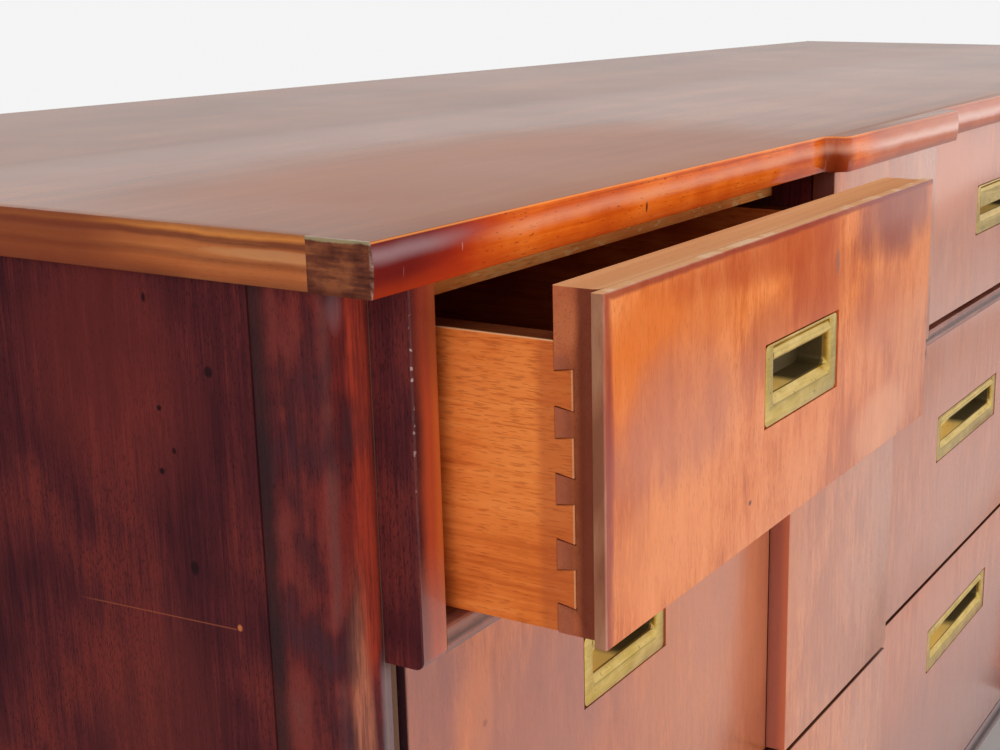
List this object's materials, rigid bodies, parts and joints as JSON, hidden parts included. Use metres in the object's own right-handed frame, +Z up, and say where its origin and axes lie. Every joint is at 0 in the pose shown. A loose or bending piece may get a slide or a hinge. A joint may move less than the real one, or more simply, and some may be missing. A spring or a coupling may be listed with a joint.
{
  "type": "dresser",
  "caption": "Wide block-fronted wooden dresser on corner posts, with a stepped frieze, bullnosed top, sliding drawers and flush brass pulls; one drawer stands ajar.",
  "frame": {"origin": "on the floor under the middle of the whole box, which takes in the drawer that stands ajar", "axes": "+Z up, the drawer fronts face -Y, +X to the right of someone facing the front"},
  "size_m": [1.585, 0.5644, 0.775],
  "materials": {
    "case_wood": "dark red-brown wood under worn satin lacquer",
    "front_wood": "red-brown veneer with upright grain under satin lacquer",
    "top_wood": "red-brown wood under glossy lacquer",
    "strip_wood": "orange-brown edge strip, worn lacquer",
    "drawer_wood": "tan drawer lining, thin lacquer",
    "brass": "aged satin brass"
  },
  "bodies": {
    "case": {"back_panel": "drawer_wood", "base_rail": "case_wood", "bottom_panel": "drawer_wood", "divider_left": "case_wood", "divider_right": "case_wood", "frieze_rail": "case_wood", "frieze_stile_left": "case_wood", "frieze_stile_right": "case_wood", "inner_top_rail": "drawer_wood", "post_back_left": "case_wood", "post_back_right": "case_wood", "post_front_left": "case_wood", "post_front_right": "case_wood", "side_panel_left": "case_wood", "side_panel_right": "case_wood", "top_end_strip_left": "strip_wood", "top_end_strip_right": "strip_wood", "top_front_moulding": "top_wood", "top_panel": "top_wood"},
    "top_left_drawer": {"top_left_drawer_back": "drawer_wood", "top_left_drawer_bottom": "drawer_wood", "top_left_drawer_facing": "front_wood", "top_left_drawer_front": "front_wood", "top_left_drawer_pull_plate": "brass", "top_left_drawer_side_left": "drawer_wood", "top_left_drawer_side_right": "drawer_wood"},
    "top_left_flap": {"top_left_drawer_pull_flap": "brass"},
    "top_centre_drawer": {"top_centre_drawer_box": "drawer_wood", "top_centre_drawer_front": "front_wood", "top_centre_drawer_pull_plate": "brass"},
    "top_centre_flap": {"top_centre_drawer_pull_flap": "brass"},
    "top_right_drawer": {"top_right_drawer_box": "drawer_wood", "top_right_drawer_front": "front_wood", "top_right_drawer_pull_plate": "brass"},
    "top_right_flap": {"top_right_drawer_pull_flap": "brass"},
    "middle_left_drawer": {"middle_left_drawer_box": "drawer_wood", "middle_left_drawer_front": "front_wood", "middle_left_drawer_pull_plate": "brass"},
    "middle_left_flap": {"middle_left_drawer_pull_flap": "brass"},
    "middle_centre_drawer": {"middle_centre_drawer_box": "drawer_wood", "middle_centre_drawer_front": "front_wood", "middle_centre_drawer_pull_plate": "brass"},
    "middle_centre_flap": {"middle_centre_drawer_pull_flap": "brass"},
    "middle_right_drawer": {"middle_right_drawer_box": "drawer_wood", "middle_right_drawer_front": "front_wood", "middle_right_drawer_pull_plate": "brass"},
    "middle_right_flap": {"middle_right_drawer_pull_flap": "brass"},
    "bottom_left_drawer": {"bottom_left_drawer_box": "drawer_wood", "bottom_left_drawer_front": "front_wood", "bottom_left_drawer_pull_plate": "brass"},
    "bottom_left_flap": {"bottom_left_drawer_pull_flap": "brass"},
    "bottom_centre_drawer": {"bottom_centre_drawer_box": "drawer_wood", "bottom_centre_drawer_front": "front_wood", "bottom_centre_drawer_pull_plate": "brass"},
    "bottom_centre_flap": {"bottom_centre_drawer_pull_flap": "brass"},
    "bottom_right_drawer": {"bottom_right_drawer_box": "drawer_wood", "bottom_right_drawer_front": "front_wood", "bottom_right_drawer_pull_plate": "brass"},
    "bottom_right_flap": {"bottom_right_drawer_pull_flap": "brass"}
  },
  "joints": [
    {"name": "top_left_slide", "type": "slide", "parent": "case", "child": "top_left_drawer", "axis": [0, -1, 0], "range_m": [-0.068, 0.232]},
    {"name": "top_left_flap_hinge", "type": "hinge", "parent": "top_left_drawer", "child": "top_left_flap", "pos_m": [-0.5688, -0.2787, 0.7034], "axis": [1, 0, 0], "range_deg": [-80, 0]},
    {"name": "top_centre_slide", "type": "slide", "parent": "case", "child": "top_centre_drawer", "axis": [0, -1, 0], "range_m": [0, 0.3]},
    {"name": "top_centre_flap_hinge", "type": "hinge", "parent": "top_centre_drawer", "child": "top_centre_flap", "pos_m": [0, -0.2107, 0.7045], "axis": [1, 0, 0], "range_deg": [0, 80]},
    {"name": "top_right_slide", "type": "slide", "parent": "case", "child": "top_right_drawer", "axis": [0, -1, 0], "range_m": [0, 0.3]},
    {"name": "top_right_flap_hinge", "type": "hinge", "parent": "top_right_drawer", "child": "top_right_flap", "pos_m": [0.5688, -0.2107, 0.7034], "axis": [1, 0, 0], "range_deg": [0, 80]},
    {"name": "middle_left_slide", "type": "slide", "parent": "case", "child": "middle_left_drawer", "axis": [0, -1, 0], "range_m": [0, 0.3]},
    {"name": "middle_left_flap_hinge", "type": "hinge", "parent": "middle_left_drawer", "child": "middle_left_flap", "pos_m": [-0.5688, -0.1892, 0.55395], "axis": [1, 0, 0], "range_deg": [-80, 0]},
    {"name": "middle_centre_slide", "type": "slide", "parent": "case", "child": "middle_centre_drawer", "axis": [0, -1, 0], "range_m": [0, 0.3]},
    {"name": "middle_centre_flap_hinge", "type": "hinge", "parent": "middle_centre_drawer", "child": "middle_centre_flap", "pos_m": [0, -0.1892, 0.52615], "axis": [1, 0, 0], "range_deg": [-80, 0]},
    {"name": "middle_right_slide", "type": "slide", "parent": "case", "child": "middle_right_drawer", "axis": [0, -1, 0], "range_m": [0, 0.3]},
    {"name": "middle_right_flap_hinge", "type": "hinge", "parent": "middle_right_drawer", "child": "middle_right_flap", "pos_m": [0.5688, -0.1892, 0.55395], "axis": [1, 0, 0], "range_deg": [0, 80]},
    {"name": "bottom_left_slide", "type": "slide", "parent": "case", "child": "bottom_left_drawer", "axis": [0, -1, 0], "range_m": [0, 0.3]},
    {"name": "bottom_left_flap_hinge", "type": "hinge", "parent": "bottom_left_drawer", "child": "bottom_left_flap", "pos_m": [-0.5688, -0.1892, 0.3497], "axis": [1, 0, 0], "range_deg": [0, 80]},
    {"name": "bottom_centre_slide", "type": "slide", "parent": "case", "child": "bottom_centre_drawer", "axis": [0, -1, 0], "range_m": [0, 0.3]},
    {"name": "bottom_centre_flap_hinge", "type": "hinge", "parent": "bottom_centre_drawer", "child": "bottom_centre_flap", "pos_m": [0, -0.1892, 0.3498], "axis": [1, 0, 0], "range_deg": [-80, 0]},
    {"name": "bottom_right_slide", "type": "slide", "parent": "case", "child": "bottom_right_drawer", "axis": [0, -1, 0], "range_m": [0, 0.3]},
    {"name": "bottom_right_flap_hinge", "type": "hinge", "parent": "bottom_right_drawer", "child": "bottom_right_flap", "pos_m": [0.5688, -0.1892, 0.3497], "axis": [1, 0, 0], "range_deg": [0, 80]}
  ]
}
